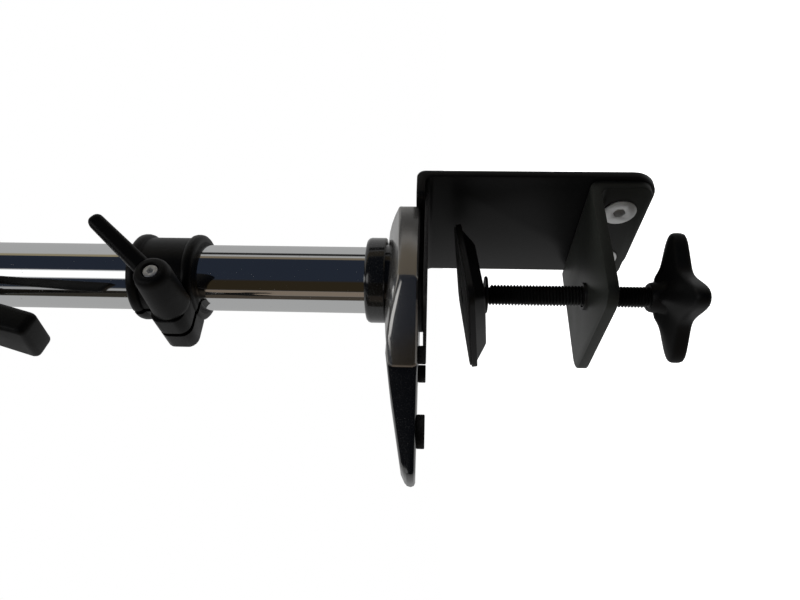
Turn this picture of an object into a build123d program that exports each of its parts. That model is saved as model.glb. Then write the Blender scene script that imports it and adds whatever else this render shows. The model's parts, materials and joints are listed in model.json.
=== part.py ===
from build123d import *
import math
import os

# Monitor arm on a desk clamp, in millimetres. +Z runs up the pole, -Y points over the desk,
# +X is the side of the levers. The origin is on the pole's axis, in the plane of the desk top.

# pole
POLE_R = 16.0
POLE_WALL = 2.0
POLE_TOP = 400.0
POLE_FOOT = 9.0

# upper bracket: plate on the desk, web down the desk's edge
STEEL = 4.0
BRACKET_HALF = 36.0
TONGUE_HALF = 26.0
TONGUE_FRONT = -15.0
TONGUE_BACK = 22.0
WEB_Y = 34.0
WEB_END = -106.0
WEB_CORNER = 12.0
PAD_T = 1.6
PLATE_Z = PAD_T + STEEL

# jaw bracket
JAW_T = 4.8
JAW_TOP = -73.6
JAW_HALF = 34.2
JAW_FRONT = -31.0
JAW_LEG_END = -103.0
JAW_SCREW_X = 18.0
JAW_SCREW_Z = -90.6
JAW_SCREW_R = 4.0
JAW_HEAD_R = 7.9

# clamp screw
SCREW_Y = -7.3
SCREW_R = 5.0
BALL_R = 5.5
BALL_Z = -22.4
NECK_R = 3.6
RETAINER_R = 5.33
WASHER_Z = -28.2
KNOB_TOP = -103.0
KNOB_BOTTOM = -121.0
KNOB_R = 31.0
KNOB_TURN = -33.0

# press plate
PRESS_Z = -16.5
PRESS_SIDE = 52.0
DISH_Z = -25.2
PRESS_TILT = 7.5
PRESS_TURN = 12.0

# base
SKIRT_Z = 3.4
COVER_TOP = 19.3
COVER_WALL = 2.0
COVER_OUTLINE = [(-30, 22), (30, 22), (33.5, -22), (12.5, -53), (-12.5, -53), (-33.5, -22)]
FOOT_HALF = 12.0
FOOT_TIP = -97.0
FOOT_BACK = -45.0
RING_R = 20.5
RING_TOP = 28.8

# height collar
COLLAR_Z = 108.0
COLLAR_LEN = 31.0
COLLAR_R = 19.3
COLLAR_RIM_R = 20.9
RIM_W = 5.4
SLIT = 2.6

# ears of the collar and the sleeve, and the studs through them
EAR_T = 10.2
EAR_BOTTOM = COLLAR_Z + 0.6
EAR_TOP = COLLAR_Z + 16.0
EAR_Y = -32.6
STUD_Y = -23.5
STUD_Z = COLLAR_Z + 7.6
STUD_R = 3.0
NUT_ACROSS = 10.0
NUT_T = 4.1

# ratchet levers: small on the collar, large on the sleeve
INSERT_R = 5.4
LEVER_LEN = 27.0
SMALL_BASE_R = 8.6
SMALL_END_R = 7.0
SMALL_SWING = -38.0
LARGE_BASE_R = 10.0
LARGE_END_R = 7.6
LARGE_SWING = 10.5

# running gap of a round part in its bore, and the gap that keeps pieces of two bodies apart
RUN = 0.05
CLEAR = 0.3

# arm sleeve on the pole
SLEEVE_Z = 221.0
SLEEVE_LEN = 47.0
SLEEVE_R = 21.5
SLEEVE_STUD_X = 29.0
SLEEVE_STUD_Z = SLEEVE_Z + 9.5
LINER_T = 1.5

# arm links
ARM_Z = 254.0
LUG_HALF = 8.0
CHEEK_T = 5.0
LINK_R = 14.0
SHOULDER_Y = -50.0
ELBOW_Y = -250.0
WRIST_Y = -420.0
PIN_R = 5.0
BUSH_R = 7.0

# monitor head
TILT_Y = -462.0
PLATE_Y = -490.0
VESA_HALF = 57.5
VESA_HOLE_R = 2.3


def block(x0, x1, y0, y1, z0, z1):
    """A box between two corners."""
    return Pos((x0 + x1) / 2, (y0 + y1) / 2, (z0 + z1) / 2) * Box(x1 - x0, y1 - y0, z1 - z0)


def rod(radius, start, end, end_radius=None):
    """A round bar between two points, tapering where a second radius is given."""
    run = Vector(*end) - Vector(*start)
    plane = Plane(origin=start, z_dir=run)
    top = radius if end_radius is None else end_radius
    if abs(top - radius) < 1e-9:
        return plane * extrude(Circle(radius), run.length)
    return plane * Pos(0, 0, run.length / 2) * Cone(radius, top, run.length)


def upright(radius, z0, z1, x=0.0, y=0.0, end_radius=None):
    """A round bar along Z."""
    return rod(radius, (x, y, z0), (x, y, z1), end_radius)


def ring(outer, inner, z0, z1, x=0.0, y=0.0):
    """A plain ring about a vertical axis."""
    return upright(outer, z0, z1, x, y) - upright(inner, z0 - 1, z1 + 1, x, y)


def outline(points):
    return make_face(Polyline(*points, close=True))


def prism_z(points, z0, z1):
    """A flat outline in XY, raised from z0 to z1."""
    return extrude(Plane.XY.offset(z0) * outline(points), z1 - z0)


def prism_x(points, x0, x1):
    """A flat outline of (y, z) points, drawn out from x0 to x1."""
    return extrude(Plane.YZ.offset(x0) * outline(points), x1 - x0)


def hexagon(across, start, end):
    """A hexagonal bar between two points, given its width across the flats."""
    run = Vector(*end) - Vector(*start)
    plane = Plane(origin=start, z_dir=run)
    return plane * extrude(RegularPolygon(across / 2, 6, major_radius=False), run.length)


def rim_edges(part, radius, z):
    """The circular edges of one radius at one height."""
    circles = part.edges().filter_by(GeomType.CIRCLE)
    level = circles.filter_by(lambda e: abs(e.arc_center.Z - z) < 0.01)
    return level.filter_by(lambda e: abs(e.radius - radius) < 0.01)


def turned(part, degrees, centre, direction):
    """A part turned about an axis through a point."""
    return part.rotate(Axis(centre, direction), degrees)


# ---------------------------------------------------------------- desk clamp


def make_clamp_bracket():
    side = [
        (TONGUE_FRONT, PAD_T),
        (WEB_Y, PAD_T),
        (WEB_Y, WEB_END),
        (WEB_Y + STEEL, WEB_END),
        (WEB_Y + STEEL, PLATE_Z),
        (TONGUE_FRONT, PLATE_Z),
    ]
    sheet = prism_x(side, -BRACKET_HALF, BRACKET_HALF)
    long_edges = sheet.edges().filter_by(Axis.X)
    inner = long_edges.sort_by_distance((0, WEB_Y, PAD_T))[0]
    sheet = fillet(inner, STEEL)
    long_edges = sheet.edges().filter_by(Axis.X)
    outer = long_edges.sort_by_distance((0, WEB_Y + STEEL, PLATE_Z))[0]
    sheet = fillet(outer, 2 * STEEL)
    for sign in (-1, 1):
        x0, x1 = sorted((sign * TONGUE_HALF, sign * (BRACKET_HALF + 1)))
        sheet -= block(x0, x1, TONGUE_FRONT - 1, TONGUE_BACK, -1, PLATE_Z + 1)
    corners = sheet.edges().filter_by(Axis.Y).group_by(Axis.Z)[0]
    sheet = fillet(corners, WEB_CORNER)
    sheet -= upright(5.5, -1, PLATE_Z + 1)
    sheet -= upright(9.6, PAD_T - 0.1, PAD_T + STEEL, end_radius=5.5)
    for x, y in base_screw_places():
        sheet -= upright(2.6, -1, PLATE_Z + 1, x, y)
        sheet -= upright(4.9, PAD_T - 0.05, PAD_T + 2.4, x, y, end_radius=2.6)
    for x in (-JAW_SCREW_X, JAW_SCREW_X):
        sheet -= rod(JAW_SCREW_R + 0.2, (x, 20, JAW_SCREW_Z), (x, 50, JAW_SCREW_Z))
    return sheet


def base_screw_places():
    return [(-20, -9), (20, -9), (-20, 16), (20, 16)]


def make_jaw_bracket():
    bottom = JAW_TOP - JAW_T
    side = [
        (JAW_FRONT, JAW_TOP),
        (WEB_Y, JAW_TOP),
        (WEB_Y, JAW_LEG_END),
        (WEB_Y - JAW_T, JAW_LEG_END),
        (WEB_Y - JAW_T, bottom),
        (JAW_FRONT, bottom),
    ]
    sheet = prism_x(side, -JAW_HALF, JAW_HALF)
    edges = sheet.edges().filter_by(Axis.X)
    sheet = fillet(edges.sort_by_distance((0, WEB_Y - JAW_T, bottom))[0], 4.0)
    edges = sheet.edges().filter_by(Axis.X)
    sheet = fillet(edges.sort_by_distance((0, WEB_Y, JAW_TOP))[0], 8.0)
    front = sheet.edges().filter_by(Axis.Z).group_by(Axis.Y)[0]
    sheet = fillet(front, 9.0)
    legs = sheet.edges().filter_by(Axis.Y).group_by(Axis.Z)[0]
    sheet = fillet(legs, 6.0)
    sheet -= upright(6.52, bottom - 1, JAW_TOP + 1, 0, SCREW_Y)
    face = WEB_Y - JAW_T
    hole = JAW_SCREW_R + 0.2
    for x in (-JAW_SCREW_X, JAW_SCREW_X):
        mouth = (x, face - 0.05, JAW_SCREW_Z)
        sheet -= rod(hole, (x, face - 1, JAW_SCREW_Z), (x, WEB_Y + 1, JAW_SCREW_Z))
        sheet -= rod(JAW_HEAD_R + 0.1, mouth, (x, face + 3.8, JAW_SCREW_Z), hole)
    return sheet


def make_jaw_screws():
    screws = []
    face = WEB_Y - JAW_T
    for x in (-JAW_SCREW_X, JAW_SCREW_X):
        head = rod(JAW_HEAD_R, (x, face - 0.6, JAW_SCREW_Z), (x, face, JAW_SCREW_Z))
        cone = rod(JAW_HEAD_R, (x, face, JAW_SCREW_Z), (x, face + 3.7, JAW_SCREW_Z), JAW_SCREW_R)
        shank = rod(JAW_SCREW_R, (x, face + 3.0, JAW_SCREW_Z), (x, WEB_Y + STEEL + 9, JAW_SCREW_Z))
        key = hexagon(5.0, (x, face - 1, JAW_SCREW_Z), (x, face + 3.0, JAW_SCREW_Z))
        screws.append(head + cone + shank - key)
    return Compound(children=screws)


def make_jaw_nuts():
    nuts = []
    start = WEB_Y + STEEL
    for x in (-JAW_SCREW_X, JAW_SCREW_X):
        washer = rod(8.0, (x, start, JAW_SCREW_Z), (x, start + 1.5, JAW_SCREW_Z))
        nut = hexagon(13.0, (x, start + 1.5, JAW_SCREW_Z), (x, start + 7.8, JAW_SCREW_Z))
        bore = rod(JAW_SCREW_R, (x, start - 1, JAW_SCREW_Z), (x, start + 10, JAW_SCREW_Z))
        nuts.append(washer + nut - bore)
    return Compound(children=nuts)


def make_thread_nut():
    """Flanged nut pressed into the jaw plate; the clamp screw runs in it."""
    bottom = JAW_TOP - JAW_T
    collar = upright(6.5, bottom, JAW_TOP + 1.2, 0, SCREW_Y)
    body = hexagon(17.0, (0, SCREW_Y, bottom - 7.0), (0, SCREW_Y, bottom))
    return collar + body - upright(SCREW_R + RUN, bottom - 10, JAW_TOP + 3, 0, SCREW_Y)


def make_desk_pad():
    pad = block(-33, 33, -29, WEB_Y - 5, 0, PAD_T)
    pad = fillet(pad.edges().filter_by(Axis.Z), 4)
    return pad


def make_clamp_screw():
    neck = upright(NECK_R, WASHER_Z - 2, BALL_Z, 0, SCREW_Y)
    ball = Pos(0, SCREW_Y, BALL_Z) * Sphere(BALL_R)
    shank = upright(SCREW_R, KNOB_BOTTOM + 4, WASHER_Z - 0.1, 0, SCREW_Y)
    return neck + ball + shank


def make_thrust_washer():
    return ring(8.8, NECK_R + RUN, WASHER_Z, WASHER_Z + 1.2, 0, SCREW_Y)


def knob_hollows(radius, z0, z1):
    """The four round scoops that leave four lobes on a disc."""
    reach = radius * 0.98
    scoops = []
    for step in range(4):
        angle = math.radians(45 + 90 * step)
        x = reach * math.cos(angle)
        y = reach * math.sin(angle)
        scoops.append(upright(radius * 0.52, z0 - 1, z1 + 1, x, y))
    return scoops


def make_knob():
    disc = upright(KNOB_R, -119.0, -109.0)
    for scoop in knob_hollows(KNOB_R, -119.0, -109.0):
        disc -= scoop
    tips = disc.edges().filter_by(Axis.Z)
    disc = fillet(tips, 3.0)
    hub = upright(9.0, -112.0, KNOB_TOP, end_radius=7.5)
    boss = upright(11.0, KNOB_BOTTOM, -117.0)
    knob = disc + hub + boss
    knob -= upright(SCREW_R, KNOB_BOTTOM + 4, KNOB_TOP + 1)
    knob -= hexagon(13.0, (0, 0, -115.0), (0, 0, -108.0))
    knob -= upright(8.0, KNOB_BOTTOM - 1, KNOB_BOTTOM + 2)
    knob = knob.rotate(Axis.Z, KNOB_TURN)
    return Pos(0, SCREW_Y, 0) * knob


def make_knob_insert():
    nut = hexagon(13.0, (0, 0, -115.0), (0, 0, -108.0)) - upright(SCREW_R, -116, -107)
    return Pos(0, SCREW_Y, 0) * nut.rotate(Axis.Z, KNOB_TURN)


def make_knob_cap():
    return upright(7.95, KNOB_BOTTOM, KNOB_BOTTOM + 2, 0, SCREW_Y)


def press_frame(part):
    """Turns a piece of the press plate about the screw and tips it on its ball."""
    part = turned(part, PRESS_TURN, (0, SCREW_Y, 0), (0, 0, 1))
    sight = math.radians(KNOB_TURN)
    return turned(part, PRESS_TILT, (0, SCREW_Y, BALL_Z), (math.cos(sight), math.sin(sight), 0))


def make_press_plate():
    half = PRESS_SIDE / 2
    plate = block(-half, half, SCREW_Y - half, SCREW_Y + half, PRESS_Z - 3.3, PRESS_Z - 0.8)
    plate = fillet(plate.edges().filter_by(Axis.Z), 7)
    plate += upright(18.5, DISH_Z, PRESS_Z - 3.3, 0, SCREW_Y, end_radius=23.5)
    plate -= Pos(0, SCREW_Y, BALL_Z) * Sphere(BALL_R + 0.08)
    plate -= upright(RETAINER_R, DISH_Z - 1, BALL_Z, 0, SCREW_Y)
    plate -= upright(9.0, DISH_Z - 1, DISH_Z + 1.2, 0, SCREW_Y)
    plate -= upright(BALL_R + 0.08, BALL_Z, PRESS_Z, 0, SCREW_Y)
    return press_frame(plate)


def make_press_pad():
    half = PRESS_SIDE / 2 - 1.0
    pad = block(-half, half, SCREW_Y - half, SCREW_Y + half, PRESS_Z - 0.8, PRESS_Z)
    pad = fillet(pad.edges().filter_by(Axis.Z), 6)
    pad -= upright(4.0, PRESS_Z - 3, PRESS_Z + 1, 0, SCREW_Y)
    return press_frame(pad)


def make_ball_retainer():
    return press_frame(ring(9.0, RETAINER_R, DISH_Z, DISH_Z + 1.2, 0, SCREW_Y))


# ---------------------------------------------------------------- base


def dome(height, outline_points, z0):
    """A plan outline raised to a crowned top: lower at the sides and towards the front."""
    body = prism_z(outline_points, z0, height + 1)
    drop = 7.5
    half = 34.0
    radius = (half * half + drop * drop) / (2 * drop)
    across = Plane.XZ.offset(-60) * Pos(0, height - radius) * Circle(radius)
    crown = extrude(across, 160)
    front_drop = 4.0
    along = [(60, z0 - 1), (60, height), (-20, height), (-60, height - front_drop), (-60, z0 - 1)]
    return body & crown & prism_x(along, -60, 60)


def make_base_cover():
    outer = dome(COVER_TOP, COVER_OUTLINE, SKIRT_Z)
    inner_points = [(0.93 * x, 0.955 * y) for x, y in COVER_OUTLINE]
    inner = dome(COVER_TOP - COVER_WALL, inner_points, SKIRT_Z - 1)
    cover = outer - inner
    cover -= upright(POLE_R + 1.4, 0, 40)
    cover -= foot_profile(FOOT_HALF + 0.1, FOOT_BACK)
    cover -= block(-TONGUE_HALF - 0.3, TONGUE_HALF + 0.3, 10, 30, 0, PLATE_Z + 0.1)
    return cover


def foot_profile(half, back):
    """The long front foot as seen from the side, drawn out to its width."""
    side = [
        (back, SKIRT_Z),
        (back, 17.4),
        (-60, 15.2),
        (FOOT_TIP + 5, 9.4),
        (FOOT_TIP, 7.0),
        (FOOT_TIP, SKIRT_Z),
    ]
    return prism_x(side, -half, half)


def make_base_body():
    inner_points = [(0.91 * x, 0.94 * y) for x, y in COVER_OUTLINE]
    plate = dome(11.0, inner_points, SKIRT_Z)
    plate -= block(-TONGUE_HALF - 0.4, TONGUE_HALF + 0.4, TONGUE_FRONT - 0.4, 30, 0, PLATE_Z)
    boss = upright(22.0, PLATE_Z, COVER_TOP - COVER_WALL - 0.7)
    foot = foot_profile(FOOT_HALF, -20.0)
    left = [(-FOOT_HALF, -15), (-FOOT_HALF, -56), (-8.5, FOOT_TIP - 1)]
    right = [(-x, y) for x, y in reversed(left)]
    foot &= prism_z(left + right, 0, 30)
    body = plate + boss + foot
    body &= dome(COVER_TOP - COVER_WALL - 0.1, inner_points, SKIRT_Z)
    body += foot & block(-20, 20, -120, FOOT_BACK, 0, 30)
    body -= upright(POLE_R, POLE_FOOT, 40)
    body -= upright(5.5, 0, 40)
    for x, y in base_screw_places():
        body -= upright(2.5, 0, 13, x, y)
    return body


def make_foot_pads():
    pads = [
        upright(7.0, 0, SKIRT_Z, 0, -76),
        upright(4.0, 0, SKIRT_Z, -9, -45),
        upright(4.0, 0, SKIRT_Z, 9, -45),
    ]
    return Compound(children=pads)


def make_base_screws():
    screws = []
    for x, y in base_screw_places():
        head = upright(4.8, PAD_T, PAD_T + 2.2, x, y, end_radius=2.5)
        shank = upright(2.5, PAD_T + 2.0, 10.4, x, y)
        key = hexagon(3.0, (x, y, PAD_T - 0.5), (x, y, PAD_T + 1.4))
        screws.append(head + shank - key)
    return Compound(children=screws)


def make_pole_ring():
    body = ring(RING_R, POLE_R, COVER_TOP + 0.1, RING_TOP)
    body = fillet(rim_edges(body, RING_R, RING_TOP), 2.0)
    spigot = ring(POLE_R + 1.3, POLE_R, COVER_TOP - 2.0, COVER_TOP + 0.2)
    return body + spigot


def make_pole():
    return ring(POLE_R, POLE_R - POLE_WALL, POLE_FOOT, POLE_TOP)


def make_pole_plug():
    plug = upright(POLE_R - POLE_WALL, POLE_FOOT, POLE_FOOT + 28)
    return plug - upright(5.0, POLE_FOOT - 1, POLE_FOOT + 24)


def make_pole_bolt():
    head = upright(9.4, PAD_T, PAD_T + 3.9, end_radius=5.0)
    shank = upright(5.0, PAD_T + 3.5, POLE_FOOT + 20)
    return head + shank - hexagon(6.0, (0, 0, PAD_T - 0.5), (0, 0, PAD_T + 2.6))


def make_pole_cap():
    cap = upright(POLE_R + 0.4, POLE_TOP, POLE_TOP + 5)
    cap = fillet(rim_edges(cap, POLE_R + 0.4, POLE_TOP + 5), 3)
    return cap + upright(POLE_R - POLE_WALL, POLE_TOP - 12, POLE_TOP + 0.5)


# ---------------------------------------------------------------- collars and levers


def split_ring(outer, inner, z0, z1):
    return ring(outer, inner, z0, z1) - block(-SLIT / 2, SLIT / 2, -outer - 1, 0, z0 - 1, z1 + 1)


def make_collar_liner():
    return split_ring(POLE_R + LINER_T, POLE_R + RUN, COLLAR_Z, COLLAR_Z + COLLAR_LEN)


def make_height_collar():
    top = COLLAR_Z + COLLAR_LEN
    body = upright(COLLAR_R, COLLAR_Z, top)
    for z in (COLLAR_Z, top - RIM_W):
        rim = upright(COLLAR_RIM_R, z, z + RIM_W)
        for level in (z, z + RIM_W):
            rim = fillet(rim_edges(rim, COLLAR_RIM_R, level), 1.2)
        body += rim
    ears = block(-SLIT / 2 - EAR_T, SLIT / 2 + EAR_T, EAR_Y, -14, EAR_BOTTOM, EAR_TOP)
    front = ears.edges().filter_by(Axis.X).group_by(Axis.Y)[0]
    ears = fillet(front, 5)
    ears = fillet(ears.edges().filter_by(Axis.Z).group_by(Axis.Y)[0], 1.5)
    body += ears
    body -= upright(POLE_R + LINER_T + RUN, COLLAR_Z - 1, top + 1)
    body -= block(-SLIT / 2, SLIT / 2, EAR_Y - 1, 0, COLLAR_Z - 1, top + 1)
    body -= rod(STUD_R + RUN, (-20, STUD_Y, STUD_Z), (20, STUD_Y, STUD_Z))
    pocket_x = -SLIT / 2 - EAR_T
    pocket_end = (pocket_x + NUT_T + 0.1, STUD_Y, STUD_Z)
    body -= hexagon(NUT_ACROSS + 0.2, (pocket_x - 1, STUD_Y, STUD_Z), pocket_end)
    face_x = SLIT / 2 + EAR_T
    body -= rod(SMALL_BASE_R + 0.4, (face_x, STUD_Y, STUD_Z), (60, STUD_Y, STUD_Z))
    return body


def make_collar_nut():
    x0 = -SLIT / 2 - EAR_T
    nut = hexagon(NUT_ACROSS, (x0, STUD_Y, STUD_Z), (x0 + NUT_T, STUD_Y, STUD_Z))
    return nut - rod(STUD_R + RUN, (x0 - 1, STUD_Y, STUD_Z), (x0 + 6, STUD_Y, STUD_Z))


# The small lever is drawn about its own axis: x runs out along the clamp screw from the
# ear's face, and the arm leaves the barrel in the (x, z) plane. It is then set in place.


def lever_insert(stud_back):
    """Toothed steel insert with the clamp stud."""
    flange = rod(6.6, (0.2, 0, 0), (1.2, 0, 0))
    body = rod(INSERT_R, (1.0, 0, 0), (12.0, 0, 0))
    stud = rod(STUD_R, (stud_back, 0, 0), (1.0, 0, 0))
    bore = rod(2.0, (4.0, 0, 0), (13.0, 0, 0))
    return flange + body + stud - bore


def lever_bore():
    """The space inside a lever's barrel: insert, shank and screw head."""
    insert = rod(INSERT_R + RUN, (-1, 0, 0), (16.2, 0, 0))
    shank = rod(2.4, (15, 0, 0), (20, 0, 0))
    head = rod(3.6, (18.4, 0, 0), (60, 0, 0))
    flange = rod(6.8, (-1, 0, 0), (1.4, 0, 0))
    return insert + shank + head + flange


def lever_screw():
    shank = rod(2.0, (4.2, 0, 0), (23.6, 0, 0))
    head = rod(3.1, (23.4, 0, 0), (26.4, 0, 0))
    return shank + head - hexagon(2.5, (24.6, 0, 0), (27, 0, 0))


def lever_spring():
    return rod(3.1, (21.3, 0, 0), (23.35, 0, 0)) - rod(2.1, (20, 0, 0), (24, 0, 0))


def lever_handle(base_r, end_r, arm_reach, arm_rise, width_in, width_out, thick):
    """Barrel and arm in one moulding; the arm runs up and outward from the barrel's end."""
    barrel = rod(base_r, (0.3, 0, 0), (LEVER_LEN, 0, 0), end_r)
    root = (LEVER_LEN - end_r - 0.5, 0, 0)
    tip = (LEVER_LEN + arm_rise, 0, arm_reach)
    run = Vector(*tip) - Vector(*root)
    plane = Plane(origin=root, x_dir=(0, 1, 0), z_dir=run)
    start = plane * Rectangle(width_in, thick)
    end = plane.offset(run.length) * Rectangle(width_out, thick * 0.8)
    arm = loft([start.face(), end.face()])
    arm = fillet(arm.edges().filter_by(lambda e: e.length > run.length * 0.8), thick * 0.3)
    handle = barrel + arm
    return handle - lever_bore()


def place_small(part):
    """Stands the small lever on the collar's ear, its arm up the pole and backwards."""
    part = part.rotate(Axis.X, SMALL_SWING)
    return Pos(SLIT / 2 + EAR_T, STUD_Y, STUD_Z) * part


def place_large(part):
    """Stands the large lever on the sleeve's ear, its barrel forward and its arm down."""
    part = part.rotate(Axis.X, 180)
    part = part.rotate(Axis.Z, -90)
    part = part.rotate(Axis.Y, LARGE_SWING)
    return Pos(SLEEVE_STUD_X, -SLIT / 2 - EAR_T, SLEEVE_STUD_Z) * part


def make_sleeve_liner():
    top = SLEEVE_Z + SLEEVE_LEN
    liner = ring(POLE_R + LINER_T, POLE_R + RUN, SLEEVE_Z, top)
    return liner - block(0, POLE_R + 3, -SLIT / 2, SLIT / 2, SLEEVE_Z - 1, top + 1)


def make_arm_sleeve():
    top = SLEEVE_Z + SLEEVE_LEN
    body = upright(SLEEVE_R, SLEEVE_Z, top)
    for level in (SLEEVE_Z, top):
        body = fillet(rim_edges(body, SLEEVE_R, level), 1.5)
    face = SLIT / 2 + EAR_T
    ears = block(12, SLEEVE_STUD_X + 10.5, -face, face, SLEEVE_Z, SLEEVE_Z + 21)
    ears = fillet(ears.edges().filter_by(Axis.Y).group_by(Axis.X)[-1], 5)
    lug = block(-LINK_R + 1, LINK_R - 1, SHOULDER_Y, -12, ARM_Z - LUG_HALF, ARM_Z + LUG_HALF)
    lug += upright(LINK_R - 1, ARM_Z - LUG_HALF, ARM_Z + LUG_HALF, 0, SHOULDER_Y)
    body += ears
    body += lug
    body -= upright(POLE_R + LINER_T + RUN, SLEEVE_Z - 1, top + 1)
    body -= block(0, 60, -SLIT / 2, SLIT / 2, SLEEVE_Z - 1, SLEEVE_Z + 23)
    x, z = SLEEVE_STUD_X, SLEEVE_STUD_Z
    body -= rod(STUD_R + RUN, (x, -20, z), (x, 20, z))
    body -= hexagon(NUT_ACROSS + 0.2, (x, face - NUT_T - 0.1, z), (x, face + 1, z))
    body -= upright(BUSH_R, ARM_Z - 20, ARM_Z + 20, 0, SHOULDER_Y)
    return body


def make_sleeve_nut():
    face = SLIT / 2 + EAR_T
    x, z = SLEEVE_STUD_X, SLEEVE_STUD_Z
    nut = hexagon(NUT_ACROSS, (x, face - NUT_T, z), (x, face, z))
    return nut - rod(STUD_R + RUN, (x, 0, z), (x, 20, z))


# ---------------------------------------------------------------- arm links


def pivot_bushes(y):
    """Two flanged bushes, one from each side of a lug."""
    bushes = []
    for sign in (-1, 1):
        inside = sorted((ARM_Z + sign * 1.0, ARM_Z + sign * LUG_HALF))
        outside = sorted((ARM_Z + sign * LUG_HALF, ARM_Z + sign * (LUG_HALF + 1.0)))
        body = upright(BUSH_R, *inside, 0, y) + upright(11.0, *outside, 0, y)
        bushes.append(body - upright(PIN_R + RUN, ARM_Z - 20, ARM_Z + 20, 0, y))
    return Compound(children=bushes)


def cheek_gap():
    return LUG_HALF + 1.0 + CLEAR


def pivot_pin(y):
    reach = cheek_gap() + CHEEK_T
    return upright(PIN_R, ARM_Z - reach + 1.0, ARM_Z + reach - 1.0, 0, y)


def pivot_caps(y):
    """Two snap caps over the ends of a pivot pin."""
    caps = []
    reach = cheek_gap() + CHEEK_T
    for sign in (-1, 1):
        z0, z1 = sorted((ARM_Z + sign * reach, ARM_Z + sign * (reach + 1.8)))
        caps.append(upright(10.0, z0, z1, 0, y))
    return Compound(children=caps)


def fork_cheek(y, length, z0, z1):
    """One cheek of a fork, rounded about the pivot."""
    return upright(LINK_R, z0, z1, 0, y) + block(-LINK_R, LINK_R, y - length, y, z0, z1)


def make_link(near, far):
    """A hollow beam with a fork over the near pivot and a lug at the far one."""
    gap = cheek_gap()
    reach = gap + CHEEK_T
    body = None
    for sign in (-1, 1):
        z0, z1 = sorted((ARM_Z + sign * gap, ARM_Z + sign * reach))
        cheek = fork_cheek(near, 18, z0, z1)
        body = cheek if body is None else body + cheek
    beam = block(-12, 12, far + 22, near - 15.5, ARM_Z - reach, ARM_Z + reach)
    beam = fillet(beam.edges().filter_by(Axis.Y), 5)
    beam -= block(-9, 9, far + 30, near - 24, ARM_Z - reach + 3, ARM_Z + reach - 3)
    neck = block(-10, 10, far, far + 26, ARM_Z - LUG_HALF, ARM_Z + LUG_HALF)
    lug = upright(LINK_R - 1, ARM_Z - LUG_HALF, ARM_Z + LUG_HALF, 0, far)
    body = body + beam + neck + lug
    for z_low in (ARM_Z - reach - 1, ARM_Z + reach - 1):
        body -= upright(3.0, z_low, z_low + 2, 0, near - 60)
    body -= upright(BUSH_R, ARM_Z - 10, ARM_Z + 10, 0, far)
    body -= upright(PIN_R, ARM_Z - 20, ARM_Z + 20, 0, near)
    return body


def cable_clip(y):
    """A snap clip under a beam that keeps cables together."""
    low = ARM_Z - cheek_gap() - CHEEK_T
    loop = block(-9, 9, y - 6, y + 6, low - 14, low)
    loop = fillet(loop.edges().filter_by(Axis.Y), 2.5)
    loop -= block(-7, 7, y - 7, y + 7, low - 12, low - 2)
    loop -= block(2.0, 6.5, y - 7, y + 7, low - 15, low - 11)
    return loop


# ---------------------------------------------------------------- monitor head


def make_head_yoke():
    """Fork on the wrist pin that carries the tilt bolt."""
    gap = cheek_gap()
    reach = gap + CHEEK_T
    body = None
    for sign in (-1, 1):
        z0, z1 = sorted((ARM_Z + sign * gap, ARM_Z + sign * reach))
        cheek = fork_cheek(WRIST_Y, 22, z0, z1)
        body = cheek if body is None else body + cheek
    body += block(-LINK_R, LINK_R, WRIST_Y - 26, WRIST_Y - 17, ARM_Z - reach, ARM_Z + reach)
    for sign in (-1, 1):
        x0, x1 = sorted((sign * 9.0, sign * LINK_R))
        ear = block(x0, x1, TILT_Y, WRIST_Y - 20, ARM_Z - 11, ARM_Z + 11)
        ear += rod(11.0, (x0, TILT_Y, ARM_Z), (x1, TILT_Y, ARM_Z))
        body += ear
    body -= upright(PIN_R + 0.02, ARM_Z - 30, ARM_Z + 30, 0, WRIST_Y)
    body -= rod(4.02, (-20, TILT_Y, ARM_Z), (20, TILT_Y, ARM_Z))
    return body


def make_tilt_bolt():
    seat = -LINK_R - 1.5
    shank = rod(4.0, (seat, TILT_Y, ARM_Z), (LINK_R + 8, TILT_Y, ARM_Z))
    head = rod(7.0, (seat - 5, TILT_Y, ARM_Z), (seat, TILT_Y, ARM_Z))
    return head + shank - hexagon(5.0, (seat - 6, TILT_Y, ARM_Z), (seat - 2, TILT_Y, ARM_Z))


def make_tilt_nut():
    nut = hexagon(13.0, (LINK_R + 1.5, TILT_Y, ARM_Z), (LINK_R + 8, TILT_Y, ARM_Z))
    return nut - rod(4.0, (LINK_R, TILT_Y, ARM_Z), (LINK_R + 9, TILT_Y, ARM_Z))


def make_tilt_washers():
    washers = []
    for sign in (-1, 1):
        x0, x1 = sorted((sign * LINK_R, sign * (LINK_R + 1.5)))
        disc = rod(8.0, (x0, TILT_Y, ARM_Z), (x1, TILT_Y, ARM_Z))
        washers.append(disc - rod(4.0, (x0 - 1, TILT_Y, ARM_Z), (x1 + 1, TILT_Y, ARM_Z)))
    return Compound(children=washers)


def make_tilt_block():
    body = rod(10.5, (-9 + CLEAR, TILT_Y, ARM_Z), (9 - CLEAR, TILT_Y, ARM_Z))
    body += block(-9 + CLEAR, 9 - CLEAR, PLATE_Y + 8, TILT_Y, ARM_Z - 9, ARM_Z + 9)
    body += rod(16.0, (0, PLATE_Y + 6.3, ARM_Z), (0, PLATE_Y + 10, ARM_Z))
    body += rod(6.0, (0, PLATE_Y - 1.5, ARM_Z), (0, PLATE_Y + 7, ARM_Z))
    body -= rod(4.0 + RUN, (-20, TILT_Y, ARM_Z), (20, TILT_Y, ARM_Z))
    return body


def make_turn_disc():
    """Retaining disc that holds the monitor plate on the tilt block's spigot."""
    return rod(9.5, (0, PLATE_Y - 3.5, ARM_Z), (0, PLATE_Y - 1.5, ARM_Z))


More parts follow.
